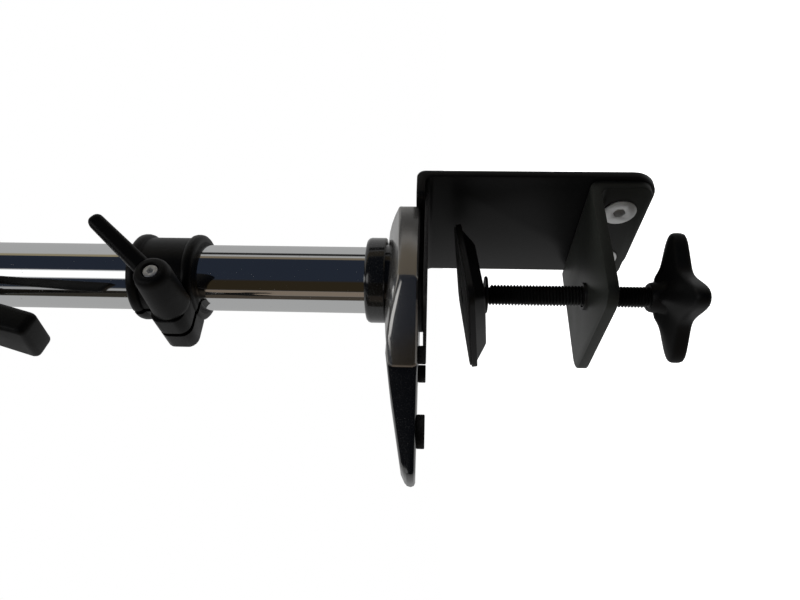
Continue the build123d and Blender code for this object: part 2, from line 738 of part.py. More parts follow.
def make_turn_hub():
    """Wear ring between the tilt block and the monitor plate."""
    disc = rod(15.0, (0, PLATE_Y + 3.3, ARM_Z), (0, PLATE_Y + 6.3, ARM_Z))
    return disc - rod(6.0 + RUN, (0, PLATE_Y, ARM_Z), (0, PLATE_Y + 9, ARM_Z))


def make_monitor_plate():
    low, high = PLATE_Y, PLATE_Y + 3.0
    plate = block(-VESA_HALF, VESA_HALF, low, high, ARM_Z - VESA_HALF, ARM_Z + VESA_HALF)
    plate = fillet(plate.edges().filter_by(Axis.Y), 9)
    reach = VESA_HALF + 4.0
    cuts = [(6.0 + RUN, 0, 0)]
    for x, z in ((-reach, 0), (reach, 0), (0, -reach), (0, reach)):
        cuts.append((26.0, x, z))
    for half in (37.5, 50.0):
        for x, z in ((-half, -half), (-half, half), (half, -half), (half, half)):
            cuts.append((VESA_HOLE_R, x, z))
    for radius, x, z in cuts:
        plate -= rod(radius, (x, low - 1, ARM_Z + z), (x, high + 1, ARM_Z + z))
    return plate


# ---------------------------------------------------------------- all nodes


def small_lever():
    stud_back = -2 * EAR_T - SLIT + 0.5
    handle = lever_handle(SMALL_BASE_R, SMALL_END_R, 36.0, 7.0, 7.8, 6.6, 7.4)
    return {
        "lever_insert": place_small(lever_insert(stud_back)),
        "lever_handle": place_small(handle),
        "lever_screw": place_small(lever_screw()),
        "lever_spring": place_small(lever_spring()),
    }


def large_lever():
    stud_back = -2 * EAR_T - SLIT + 0.5
    handle = lever_handle(LARGE_BASE_R, LARGE_END_R, 65.0, 6.0, 13.0, 24.0, 13.6)
    return {
        "sleeve_lever_insert": place_large(lever_insert(stud_back)),
        "sleeve_lever_handle": place_large(handle),
        "sleeve_lever_screw": place_large(lever_screw()),
        "sleeve_lever_spring": place_large(lever_spring()),
    }


def all_nodes():
    nodes = {
        "clamp_bracket": make_clamp_bracket(),
        "jaw_bracket": make_jaw_bracket(),
        "jaw_screws": make_jaw_screws(),
        "jaw_nuts": make_jaw_nuts(),
        "thread_nut": make_thread_nut(),
        "desk_pad": make_desk_pad(),
        "clamp_screw": make_clamp_screw(),
        "thrust_washer": make_thrust_washer(),
        "knob": make_knob(),
        "knob_insert": make_knob_insert(),
        "knob_cap": make_knob_cap(),
        "press_plate": make_press_plate(),
        "press_pad": make_press_pad(),
        "ball_retainer": make_ball_retainer(),
        "base_cover": make_base_cover(),
        "base_body": make_base_body(),
        "foot_pads": make_foot_pads(),
        "base_screws": make_base_screws(),
        "pole_ring": make_pole_ring(),
        "pole": make_pole(),
        "pole_plug": make_pole_plug(),
        "pole_bolt": make_pole_bolt(),
        "pole_cap": make_pole_cap(),
        "collar_liner": make_collar_liner(),
        "height_collar": make_height_collar(),
        "collar_nut": make_collar_nut(),
        "sleeve_liner": make_sleeve_liner(),
        "arm_sleeve": make_arm_sleeve(),
        "sleeve_nut": make_sleeve_nut(),
        "shoulder_bushes": pivot_bushes(SHOULDER_Y),
        "shoulder_pin": pivot_pin(SHOULDER_Y),
        "shoulder_caps": pivot_caps(SHOULDER_Y),
        "inner_arm": make_link(SHOULDER_Y, ELBOW_Y),
        "inner_cable_clip": cable_clip(-130),
        "elbow_bushes": pivot_bushes(ELBOW_Y),
        "elbow_pin": pivot_pin(ELBOW_Y),
        "elbow_caps": pivot_caps(ELBOW_Y),
        "outer_arm": make_link(ELBOW_Y, WRIST_Y),
        "outer_cable_clip": cable_clip(-330),
        "wrist_bushes": pivot_bushes(WRIST_Y),
        "wrist_pin": pivot_pin(WRIST_Y),
        "wrist_caps": pivot_caps(WRIST_Y),
        "head_yoke": make_head_yoke(),
        "tilt_bolt": make_tilt_bolt(),
        "tilt_nut": make_tilt_nut(),
        "tilt_washers": make_tilt_washers(),
        "tilt_block": make_tilt_block(),
        "turn_disc": make_turn_disc(),
        "turn_hub": make_turn_hub(),
        "monitor_plate": make_monitor_plate(),
    }
    nodes.update(small_lever())
    nodes.update(large_lever())
    return nodes


os.makedirs("parts", exist_ok=True)
for name, shape in all_nodes().items():
    export_step(shape, f"parts/{name}.step")
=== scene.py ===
import json
import math

import bmesh
import bpy
from mathutils import Matrix, Vector

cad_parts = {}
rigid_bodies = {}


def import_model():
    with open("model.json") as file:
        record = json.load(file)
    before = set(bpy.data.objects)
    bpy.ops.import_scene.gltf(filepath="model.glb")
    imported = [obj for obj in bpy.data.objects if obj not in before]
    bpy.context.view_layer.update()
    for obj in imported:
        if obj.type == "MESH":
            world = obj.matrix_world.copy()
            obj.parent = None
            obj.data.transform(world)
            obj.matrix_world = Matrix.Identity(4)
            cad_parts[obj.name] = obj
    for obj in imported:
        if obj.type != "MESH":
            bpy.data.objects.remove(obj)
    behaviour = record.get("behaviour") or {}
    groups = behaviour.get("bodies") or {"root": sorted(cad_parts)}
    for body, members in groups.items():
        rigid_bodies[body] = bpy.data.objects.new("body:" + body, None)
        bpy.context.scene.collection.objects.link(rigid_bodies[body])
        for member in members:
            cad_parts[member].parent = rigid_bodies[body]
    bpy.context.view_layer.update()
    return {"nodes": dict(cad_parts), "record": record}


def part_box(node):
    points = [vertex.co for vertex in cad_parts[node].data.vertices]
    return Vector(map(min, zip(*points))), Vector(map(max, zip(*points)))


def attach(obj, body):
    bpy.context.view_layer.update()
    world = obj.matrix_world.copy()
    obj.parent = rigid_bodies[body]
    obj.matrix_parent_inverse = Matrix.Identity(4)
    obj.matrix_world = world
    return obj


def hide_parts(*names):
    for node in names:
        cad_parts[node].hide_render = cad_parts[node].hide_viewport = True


bl_info = {
    "name": "Monitor arm",
    "version": (1, 0, 0),
    "blender": (4, 5, 0),
    "location": "View3D > Sidebar > Monitor arm",
    "description": "Desk clamp, chromed pole, lever-locked collar and folding monitor arm",
    "category": "Object",
}

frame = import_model()

MM = 0.001


# ---------------------------------------------------------------- bench tools


def only(piece):
    """Selects one piece and nothing else."""
    bpy.ops.object.select_all(action="DESELECT")
    piece.select_set(True)
    bpy.context.view_layer.objects.active = piece


def settled(name):
    """Names the newest object and puts its place into its mesh."""
    piece = bpy.context.object
    piece.name = name
    piece.data.name = name
    only(piece)
    bpy.ops.object.transform_apply(location=True, rotation=True, scale=True)
    return piece


class Editing:
    """Edit mode on one piece, with nothing selected at the start."""

    def __init__(self, piece):
        self.piece = piece

    def __enter__(self):
        only(self.piece)
        bpy.ops.object.mode_set(mode="EDIT")
        bpy.ops.mesh.select_all(action="DESELECT")
        return self

    def __exit__(self, *_):
        bpy.ops.object.mode_set(mode="OBJECT")

    def pick(self, kind, test):
        """Selects the vertices, edges or faces that pass a test on their middle, in millimetres."""
        bpy.ops.mesh.select_all(action="DESELECT")
        bpy.ops.mesh.select_mode(type=kind)
        mesh = bmesh.from_edit_mesh(self.piece.data)
        for part in {"VERT": mesh.verts, "EDGE": mesh.edges, "FACE": mesh.faces}[kind]:
            if test(part, middle(part)):
                part.select_set(True)
        bmesh.update_edit_mesh(self.piece.data)


def middle(part):
    """The middle of a vertex, edge or face, in millimetres."""
    if isinstance(part, bmesh.types.BMVert):
        return part.co / MM
    if isinstance(part, bmesh.types.BMEdge):
        return (part.verts[0].co + part.verts[1].co) / (2 * MM)
    return part.calc_center_median() / MM


def runs_along(edge, axis):
    """Whether an edge lies along the X, Y or Z axis."""
    run = (edge.verts[1].co - edge.verts[0].co).normalized()
    return abs(run["XYZ".index(axis)]) > 0.99


def block(name, low, high):
    """A box between two corners, in millimetres."""
    bpy.ops.mesh.primitive_cube_add(size=1, location=[(a + b) * MM / 2 for a, b in zip(low, high)])
    bpy.context.object.scale = [(b - a) * MM for a, b in zip(low, high)]
    return settled(name)


def rod(name, radius, start, end, end_radius=None, segments=48):
    """A round bar between two points, in millimetres."""
    start, end = Vector(start) * MM, Vector(end) * MM
    run = end - start
    bpy.ops.mesh.primitive_cone_add(
        vertices=segments,
        radius1=radius * MM,
        radius2=(radius if end_radius is None else end_radius) * MM,
        depth=run.length,
        location=(start + end) / 2,
        rotation=run.to_track_quat("Z", "Y").to_euler(),
    )
    return settled(name)


def turned(name, profile, segments=72, through=False):
    """A turned piece about Z from (radius, height) steps; through leaves it open in the middle."""
    radius, height = profile[0]
    bpy.ops.mesh.primitive_circle_add(
        vertices=segments,
        radius=radius * MM,
        location=(0, 0, height * MM),
        fill_type="NOTHING" if through else "NGON",
    )
    piece = settled(name)
    with Editing(piece) as edit:
        bpy.ops.mesh.select_all(action="SELECT")
        for (r0, z0), (r1, z1) in zip(profile, profile[1:]):
            bpy.ops.mesh.extrude_region_move()
            bpy.ops.transform.translate(value=(0, 0, (z1 - z0) * MM))
            bpy.ops.transform.resize(value=(r1 / r0, r1 / r0, 1), center_override=(0, 0, z1 * MM))
        if through:
            edit.pick("EDGE", lambda edge, _: edge.is_boundary)
            bpy.ops.mesh.bridge_edge_loops()
    outward(piece)
    return piece


def outward(piece):
    """Merges doubles and points every face outwards."""
    with Editing(piece):
        bpy.ops.mesh.select_all(action="SELECT")
        bpy.ops.mesh.remove_doubles(threshold=0.000002)
        bpy.ops.mesh.normals_make_consistent(inside=False)


def cut(piece, point, normal):
    """Slices off what lies beyond a plane and closes the face."""
    with Editing(piece):
        bpy.ops.mesh.select_all(action="SELECT")
        bpy.ops.mesh.bisect(
            plane_co=Vector(point) * MM,
            plane_no=Vector(normal).normalized(),
            use_fill=True,
            clear_outer=True,
        )


def rounded(piece, width, segments, test):
    """Rounds the edges that pass a test on the edge and its middle."""
    with Editing(piece) as edit:
        edit.pick("EDGE", test)
        bpy.ops.mesh.bevel(offset=width * MM, offset_type="OFFSET", segments=segments, profile=0.5)


def finished(piece, kind, **settings):
    """Adds a modifier with these settings and applies it."""
    only(piece)
    modifier = piece.modifiers.new(kind.lower(), kind)
    for key, value in settings.items():
        setattr(modifier, key, value)
    bpy.ops.object.modifier_apply(modifier=modifier.name)


def combined(piece, other, operation="UNION"):
    """Joins or carves one solid with another, which is used up."""
    finished(piece, "BOOLEAN", operation=operation, object=other, solver="EXACT")
    bpy.data.objects.remove(other)


def eased(piece, width, segments=2, angle=32, smooth=38):
    """Breaks the sharp edges of a piece and smooths its curved faces."""
    with Editing(piece):
        bpy.ops.mesh.select_all(action="SELECT")
        bpy.ops.mesh.remove_doubles(threshold=0.000005)
        bpy.ops.mesh.dissolve_limited(angle_limit=math.radians(0.6))
    finished(
        piece,
        "BEVEL",
        width=width * MM,
        segments=segments,
        limit_method="ANGLE",
        angle_limit=math.radians(angle),
        miter_outer="MITER_ARC",
    )
    smoothed(piece, smooth)


def smoothed(piece, angle=38):
    """Shades a piece smooth, apart from edges sharper than an angle in degrees."""
    only(piece)
    bpy.ops.object.shade_smooth_by_angle(angle=math.radians(angle))


def placed(piece, matrix):
    """Moves a finished piece's mesh by a matrix in metres."""
    piece.matrix_world = matrix
    only(piece)
    bpy.ops.object.transform_apply(location=True, rotation=True, scale=True)


def stand_in_copy(node, name, width):
    """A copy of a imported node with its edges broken."""
    only(frame["nodes"][node])
    bpy.ops.object.duplicate()
    piece = bpy.context.object
    bpy.ops.object.parent_clear(type="CLEAR_KEEP_TRANSFORM")
    piece.data.materials.clear()
    piece.name = name
    piece.data.name = name
    only(piece)
    bpy.ops.object.transform_apply(location=True, rotation=True, scale=True)
    if piece.data.has_custom_normals:
        bpy.ops.mesh.customdata_custom_splitnormals_clear()
    eased(piece, width)
    return piece


def fitted(piece, finish, body, slot, *nodes):
    """Gives a piece its finish and its place in the assembly."""
    piece.data.materials.clear()
    piece.data.materials.append(finish)
    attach(piece, body)
    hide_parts(*nodes)


# ---------------------------------------------------------------- finishes


class Value:
    """One shader socket that takes part in sums."""

    def __init__(self, finish, socket):
        self.finish = finish
        self.socket = socket

    def math(self, operation, *others):
        return self.finish.add("ShaderNodeMath", {"operation": operation}, [self, *others])

    def __add__(self, other):
        return self.math("ADD", other)

    def __radd__(self, other):
        return self.math("ADD", other)

    def __sub__(self, other):
        return self.math("SUBTRACT", other)

    def __rsub__(self, other):
        return self.finish.add("ShaderNodeMath", {"operation": "SUBTRACT"}, [other, self])

    def __mul__(self, other):
        return self.math("MULTIPLY", other)

    def __rmul__(self, other):
        return self.math("MULTIPLY", other)

    def above(self, edge, soft=0.05):
        """0 below an edge and 1 above it, with a soft step."""
        return self.finish.add(
            "ShaderNodeMapRange",
            {"interpolation_type": "SMOOTHSTEP"},
            [self, edge - soft, edge + soft, 0.0, 1.0],
        )


class Finish:
    """A material or world node tree, built one node at a time."""

    def __init__(self, name, tree=None):
        if tree is None:
            self.material = bpy.data.materials.new(name)
            self.material.use_nodes = True
            tree = self.material.node_tree
        self.tree = tree
        self.tree.nodes.clear()

    def add(self, kind, settings=None, inputs=(), output=0):
        """Adds a node; inputs are a list in socket order or a dict by socket name."""
        node = self.tree.nodes.new(kind)
        for key, value in (settings or {}).items():
            setattr(node, key, value)
        pairs = inputs.items() if isinstance(inputs, dict) else enumerate(inputs)
        for key, value in pairs:
            if isinstance(value, Value):
                self.tree.links.new(value.socket, node.inputs[key])
            else:
                node.inputs[key].default_value = value
        return Value(self, node.outputs[output]) if node.outputs else node

    def place(self):
        """The point on the object, in metres."""
        return self.add("ShaderNodeTexCoord", output="Object")

    def noise(self, scale, detail=3.0, stretch=(1, 1, 1), roughness=0.55):
        """Noise with a scale in cycles a metre, stretched along the axes."""
        spot = self.add("ShaderNodeMapping", {}, {"Vector": self.place(), "Scale": stretch})
        return self.add(
            "ShaderNodeTexNoise",
            {"noise_dimensions": "3D"},
            {"Vector": spot, "Scale": scale, "Detail": detail, "Roughness": roughness},
        )

    def cells(self, scale):
        """Distance to the nearest of scattered points, with a scale in points a metre."""
        return self.add("ShaderNodeTexVoronoi", {"feature": "F1"}, {"Vector": self.place(), "Scale": scale})

    def blend(self, amount, low, high):
        """A colour between two others."""
        mix = self.tree.nodes.new("ShaderNodeMix")
        mix.data_type = "RGBA"
        for index, value in ((0, amount), (6, low), (7, high)):
            if isinstance(value, Value):
                self.tree.links.new(value.socket, mix.inputs[index])
            else:
                mix.inputs[index].default_value = value
        return Value(self, mix.outputs[2])

    def bump(self, height, strength, distance):
        return self.add(
            "ShaderNodeBump",
            {},
            {"Height": height, "Strength": strength, "Distance": distance * MM},
        )

    def surface(self, **inputs):
        """The surface shader and the output, with spaces in socket names given as underscores."""
        named = {key.replace("_", " "): value for key, value in inputs.items()}
        shader = self.add("ShaderNodeBsdfPrincipled", {}, named)
        self.add("ShaderNodeOutputMaterial", {}, {"Surface": shader})
        return self.material


def grey(level, tint=(1, 1, 1)):
    """A grey of this linear level, multiplied by a tint."""
    return (level * tint[0], level * tint[1], level * tint[2], 1.0)


def powder_coat(name, level, tint, roughness, peel):
    """Baked paint on steel: a fine orange peel, faint handling marks and settled dust."""
    f = Finish(name)
    peel_noise = f.noise(900, 2.0)
    handling = f.noise(28, 5.0, (1, 1, 0.35))
    dust = f.noise(4200, 1.0).above(0.70, 0.03)
    marks = handling.above(0.62, 0.16)
    tone = f.blend(handling, grey(level * 0.8, tint), grey(level * 1.35, tint))
    colour = f.blend(dust * 0.3, tone, grey(0.10, tint))
    return f.surface(
        Base_Color=colour,
        Roughness=roughness + marks * 0.12 + peel_noise * 0.06,
        Specular_IOR_Level=0.22,
        Normal=f.bump(peel_noise, 0.35, peel),
    )


def bright_zinc():
    """Zinc-plated steel, brushed in short strokes with a pale bloom."""
    f = Finish("bright_zinc")
    strokes = f.noise(1400, 3.0, (1, 1, 0.12))
    bloom = f.noise(160, 4.0)
    colour = f.blend(bloom, grey(0.72, (1, 1, 0.98)), grey(0.94, (0.98, 1, 1)))
    return f.surface(
        Base_Color=colour,
        Metallic=0.8,
        Roughness=0.26 + bloom * 0.22 + strokes * 0.1,
        Normal=f.bump(strokes, 0.3, 0.02),
    )


def oiled_steel(name, level, roughness):
    """Dark oxide steel with an uneven film of oil and bright rubbed spots."""
    f = Finish(name)
    film = f.noise(240, 4.0)
    rubbed = f.noise(700, 3.0, (1, 1, 0.5)).above(0.63, 0.07)
    colour = f.blend(rubbed * 0.25, f.blend(film, grey(level * 0.7), grey(level * 1.4)), grey(0.12))
    return f.surface(
        Base_Color=colour,
        Metallic=0.9,
        Roughness=roughness + film * 0.2,
        Normal=f.bump(film, 0.2, 0.015),
    )


def moulded_plastic(name, level, tint, roughness, grain, depth):
    """Moulded plastic with a spark-eroded grain and slight rub marks."""
    f = Finish(name)
    pits = f.cells(grain)
    fine = f.noise(grain * 1.7, 2.0)
    wear = f.noise(60, 4.0).above(0.60, 0.14)
    height = pits * 0.6 + fine * 0.5
    colour = f.blend(wear * 0.55 + fine * 0.15, grey(level, tint), grey(level * 2.1, tint))
    return f.surface(
        Base_Color=colour,
        Roughness=roughness - wear * 0.10 + fine * 0.08,
        Specular_IOR_Level=0.22,
        Normal=f.bump(height, 0.55, depth),
    )


def soft_rubber():
    """Dense foam rubber with a fine open skin."""
    f = Finish("pad_rubber")
    pores = f.cells(1500)
    fine = f.noise(2600, 2.0)
    colour = f.blend(pores, grey(0.012), grey(0.045))
    return f.surface(
        Base_Color=colour,
        Roughness=0.78 + fine * 0.15,
        Normal=f.bump(pores + fine * 0.4, 0.6, 0.12),
    )


def silver_lacquer():
    """Silver-grey metallic lacquer: small flakes under a clear coat."""
    f = Finish("silver_cover")
    flake = f.cells(5200)
    cloud = f.noise(45, 4.0)
    scuff = f.noise(130, 5.0, (0.4, 1, 1)).above(0.66, 0.06)
    warm = (1, 0.98, 0.95)
    colour = f.blend(flake * 0.5 + cloud * 0.4, grey(0.34, warm), grey(0.50, warm))
    return f.surface(
        Base_Color=f.blend(scuff * 0.2, colour, grey(0.6)),
        Metallic=0.85,
        Roughness=0.16 + flake * 0.05,
        Coat_Weight=0.5 - scuff * 0.1,
        Coat_Roughness=0.05,
        Normal=f.bump(flake, 0.04, 0.01),
    )


def gloss_black(name, roughness, tint=(1, 1, 1)):
    """Polished black plastic with hairline scratches and a trace of dust."""
    f = Finish(name)
    hair = f.noise(520, 4.0, (1, 0.08, 1)).above(0.66, 0.04)
    dust = f.noise(3800, 1.0).above(0.69, 0.03)
    cloud = f.noise(40, 4.0)
    colour = f.blend(dust * 0.5, f.blend(cloud, grey(0.006, tint), grey(0.014, tint)), grey(0.2))
    return f.surface(
        Base_Color=colour,
        Roughness=roughness + hair * 0.18 + dust * 0.3 + cloud * 0.05,
        Coat_Weight=0.6 - dust * 0.4,
        Coat_Roughness=0.05,
        Normal=f.bump(f.noise(300, 2.0), 0.08, 0.05),
    )


def polished_chrome():
    """Chrome plate with a slight draw wave, water spots and a few chips of dust."""
    f = Finish("pole_chrome")
    spots = f.noise(900, 2.0).above(0.735, 0.012)
    haze = f.noise(70, 4.0, (1, 1, 0.2))
    draw = f.noise(60, 2.0, (1, 1, 0.06))
    colour = f.blend(spots, grey(0.86, (0.99, 1, 1.0)), grey(0.62))
    return f.surface(
        Base_Color=colour,
        Metallic=1.0,
        Roughness=0.035 + haze * 0.03 + spots * 0.35,
        Normal=f.bump(draw + spots * 0.3, 0.10, 0.05),
    )


def plain_metal(name, level, roughness):
    """Ground steel with a fine lay and light marks."""
    f = Finish(name)
    lay = f.noise(1800, 2.0, (1, 1, 0.1))
    cloud = f.noise(120, 3.0)
    return f.surface(
        Base_Color=f.blend(cloud, grey(level * 0.8), grey(level * 1.15)),
        Metallic=1.0,
        Roughness=roughness + lay * 0.15,
        Normal=f.bump(lay, 0.25, 0.01),
    )


FINISHES = {}


def make_finishes():
    """Every finish by the name of its material slot."""
    FINISHES.update(
        bracket_paint=powder_coat("bracket_paint", 0.007, (1, 1, 1.03), 0.30, 0.03),
        jaw_paint=powder_coat("jaw_paint", 0.026, (1, 1.08, 0.96), 0.36, 0.04),
        press_paint=powder_coat("press_paint", 0.006, (1, 1, 1.02), 0.34, 0.03),
        arm_paint=powder_coat("arm_paint", 0.008, (1, 1, 1.02), 0.36, 0.04),
        plate_paint=powder_coat("plate_paint", 0.008, (1, 1, 1.02), 0.38, 0.05),
        collar_black=powder_coat("collar_black", 0.005, (1, 1, 1.02), 0.34, 0.04),
        bright_zinc=bright_zinc(),
        dark_screw_steel=oiled_steel("dark_screw_steel", 0.05, 0.32),
        spring_steel=plain_metal("spring_steel", 0.5, 0.25),
        pin_steel=plain_metal("pin_steel", 0.6, 0.2),
        pad_rubber=soft_rubber(),
        knob_plastic=moulded_plastic("knob_plastic", 0.006, (1, 1, 1.02), 0.42, 1900, 0.05),
        lever_plastic=moulded_plastic("lever_plastic", 0.005, (1, 1, 1), 0.44, 2300, 0.06),
        cap_plastic=moulded_plastic("cap_plastic", 0.018, (1, 1, 1), 0.45, 2300, 0.04),
        clip_plastic=moulded_plastic("clip_plastic", 0.02, (1, 1, 1), 0.5, 2300, 0.04),
        liner_plastic=moulded_plastic("liner_plastic", 0.006, (1, 1, 1), 0.5, 1600, 0.03),
        inner_plastic=moulded_plastic("inner_plastic", 0.25, (1, 1, 1), 0.5, 1600, 0.03),
        bush_plastic=moulded_plastic("bush_plastic", 0.5, (1, 1, 0.95), 0.5, 1600, 0.02),
        silver_cover=silver_lacquer(),
        base_black=gloss_black("base_black", 0.16),
        ring_black=gloss_black("ring_black", 0.10, (1, 1.05, 1.08)),
        pole_chrome=polished_chrome(),
    )


# ---------------------------------------------------------------- settings


class ClampSettings(bpy.types.PropertyGroup):
    """Sizes of the desk clamp, in millimetres."""

    web_width: bpy.props.FloatProperty(
        name="Web width", description="Width of the upper bracket", default=72.0, min=40.0
    )
    steel: bpy.props.FloatProperty(
        name="Bracket steel", description="Thickness of the upper bracket's steel", default=4.0, min=1.0
    )
    jaw_steel: bpy.props.FloatProperty(
        name="Jaw steel", description="Thickness of the jaw bracket's steel", default=4.8, min=1.0
    )
    pitch: bpy.props.FloatProperty(
        name="Thread pitch", description="Pitch of the clamp screw", default=1.5, min=0.5
    )
    knob_reach: bpy.props.FloatProperty(
        name="Knob reach", description="Radius over the knob's lobes", default=31.0, min=10.0
    )
    plate_tilt: bpy.props.FloatProperty(
        name="Plate tilt",
        description="How far the press plate has tipped on its ball",
        default=math.radians(7.5),
        subtype="ANGLE",
    )


class BaseSettings(bpy.types.PropertyGroup):
    """Sizes of the cover, foot and pole, in millimetres."""

    cover_edge: bpy.props.FloatProperty(
        name="Cover edge", description="Width of the bevel round the cover", default=2.2, min=0.2
    )
    foot_edge: bpy.props.FloatProperty(
        name="Foot edge", description="Width of the bevel along the foot", default=1.9, min=0.2
    )
    ring_radius: bpy.props.FloatProperty(
        name="Ring radius", description="Outside radius of the pole's ring", default=20.5, min=17.0
    )


class CollarSettings(bpy.types.PropertyGroup):
    """Sizes of the collar, sleeve and levers, in millimetres."""

    rim: bpy.props.FloatProperty(
        name="Rim", description="Radius over the collar's rims", default=20.9, min=18.0
    )
    lever_reach: bpy.props.FloatProperty(
        name="Small lever", description="Reach of the small lever's arm", default=36.0, min=10.0
    )
    paddle_reach: bpy.props.FloatProperty(
        name="Large lever", description="Reach of the large lever's arm", default=65.0, min=20.0
    )


class StudioSettings(bpy.types.PropertyGroup):
    """Camera, floor and light."""

    azimuth: bpy.props.FloatProperty(
        name="Azimuth", description="Camera's turn about the pole",
        default=math.radians(56.74), subtype="ANGLE",
    )
    elevation: bpy.props.FloatProperty(
        name="Elevation", description="Camera's height angle", default=math.radians(-2.67), subtype="ANGLE"
    )
    roll: bpy.props.FloatProperty(
        name="Roll", description="Camera's roll, with the pole lying across the frame",
        default=math.radians(-89.02), subtype="ANGLE",
    )
    aim: bpy.props.FloatVectorProperty(
        name="Aim", description="Point the camera looks at",
        default=(-0.00508, -0.00775, 0.01301), subtype="TRANSLATION",
    )
    distance: bpy.props.FloatProperty(
        name="Distance", description="Camera to aim point", default=0.29515, unit="LENGTH"
    )
    lens: bpy.props.FloatProperty(
        name="Lens", description="Focal length in millimetres", default=27.54
    )
    floor_height: bpy.props.FloatProperty(
        name="Floor height", description="Level of the floor", default=-0.175, unit="LENGTH"
    )


# ---------------------------------------------------------------- desk clamp

SCREW_Y = -7.3
BALL_Z = -22.4
SCREW_AXIS = Matrix.Translation((0, SCREW_Y * MM, 0))
WEB_FRONT = 34.0
JAW_SCREW_X = 18
JAW_SCREW_Z = -90.6
JAW_SCREW_HOLE = 4.2


class MONITORARM_OT_brackets(bpy.types.Operator):
    """Makes the upper bracket and the jaw bracket from folded sheet"""

    bl_idname = "monitorarm.brackets"
    bl_label = "Clamp brackets"

    def execute(self, context):
        sizes = context.scene.clamp_settings
        self.upper(sizes)
        self.jaw(sizes)
        return {"FINISHED"}

    def upper(self, sizes):
        half = sizes.web_width / 2
        under, foot = 1.6, -106
        top = under + sizes.steel
        back = WEB_FRONT + sizes.steel
        piece = block("upper_bracket", (-half, WEB_FRONT, foot), (half, back, top))
        with Editing(piece) as edit:
            bpy.ops.mesh.select_all(action="SELECT")
            bpy.ops.mesh.bisect(plane_co=(0, 0, under * MM), plane_no=(0, 0, 1))
            edit.pick("FACE", lambda face, at: face.normal.y < -0.9 and at.z > under)
            bpy.ops.mesh.extrude_region_move()
            bpy.ops.transform.translate(value=(0, -12 * MM, 0))
            bpy.ops.mesh.extrude_region_move()
            bpy.ops.transform.resize(value=(26 / half, 1, 1))
            bpy.ops.mesh.extrude_region_move()
            bpy.ops.transform.translate(value=(0, -37 * MM, 0))
        outward(piece)
        rounded(piece, 4.0, 5, lambda e, at: runs_along(e, "X") and near(at, y=WEB_FRONT, z=under))
        rounded(piece, 8.0, 8, lambda e, at: runs_along(e, "X") and near(at, y=back, z=top))
        rounded(piece, 12.0, 8, lambda e, at: runs_along(e, "Y") and near(at, z=foot))
        rounded(piece, 3.0, 4, lambda e, at: runs_along(e, "Z") and near(at, y=22) and abs(at.x) > half - 1)
        rounded(piece, 4.0, 4, lambda e, at: runs_along(e, "Z") and near(at, y=-15))
        eased(piece, 0.55)
        for x in (-JAW_SCREW_X, JAW_SCREW_X):
            hole = rod("drill", JAW_SCREW_HOLE, (x, 30, JAW_SCREW_Z), (x, 45, JAW_SCREW_Z))
            combined(piece, hole, "DIFFERENCE")
        combined(piece, rod("drill", 5.5, (0, 0, 0), (0, 0, 9)), "DIFFERENCE")
        combined(piece, rod("drill", 9.6, (0, 0, 1.5), (0, 0, 5.6), 5.5), "DIFFERENCE")
        smoothed(piece)
        fitted(piece, FINISHES["bracket_paint"], "base", "bracket_paint", "clamp_bracket")

    def jaw(self, sizes):
        top, leg_end, tip = -73.6, -103.0, -31.0
        face = WEB_FRONT - sizes.jaw_steel
        low = top - sizes.jaw_steel
        piece = block("jaw_plate", (-34.2, face, leg_end), (34.2, WEB_FRONT, top))
        with Editing(piece) as edit:
            bpy.ops.mesh.select_all(action="SELECT")
            bpy.ops.mesh.bisect(plane_co=(0, 0, low * MM), plane_no=(0, 0, 1))
            edit.pick("FACE", lambda f, at: f.normal.y < -0.9 and at.z > low)
            bpy.ops.mesh.extrude_region_move()
            bpy.ops.transform.translate(value=(0, (tip - face) * MM, 0))
        outward(piece)
        rounded(piece, 4.0, 5, lambda e, at: runs_along(e, "X") and near(at, y=face, z=low))
        rounded(piece, 8.0, 8, lambda e, at: runs_along(e, "X") and near(at, y=WEB_FRONT, z=top))
        rounded(piece, 9.0, 6, lambda e, at: runs_along(e, "Z") and near(at, y=tip))
        rounded(piece, 6.0, 5, lambda e, at: runs_along(e, "Y") and near(at, z=leg_end))
        eased(piece, 0.6)
        combined(piece, rod("drill", 6.5, (0, SCREW_Y, -90), (0, SCREW_Y, -60)), "DIFFERENCE")
        for x in (-JAW_SCREW_X, JAW_SCREW_X):
            mouth, throat = (x, face - 0.1, JAW_SCREW_Z), (x, face + 3.9, JAW_SCREW_Z)
            combined(piece, rod("sink", 8.1, mouth, throat, JAW_SCREW_HOLE), "DIFFERENCE")
            hole = rod("drill", JAW_SCREW_HOLE, (x, 20, JAW_SCREW_Z), (x, 45, JAW_SCREW_Z))
            combined(piece, hole, "DIFFERENCE")
        smoothed(piece)
        fitted(piece, FINISHES["jaw_paint"], "base", "jaw_paint", "jaw_bracket")


def near(at, reach=0.2, **place):
    """Whether a point is at these coordinates, in millimetres."""
    return all(abs(getattr(at, key) - value) < reach for key, value in place.items())


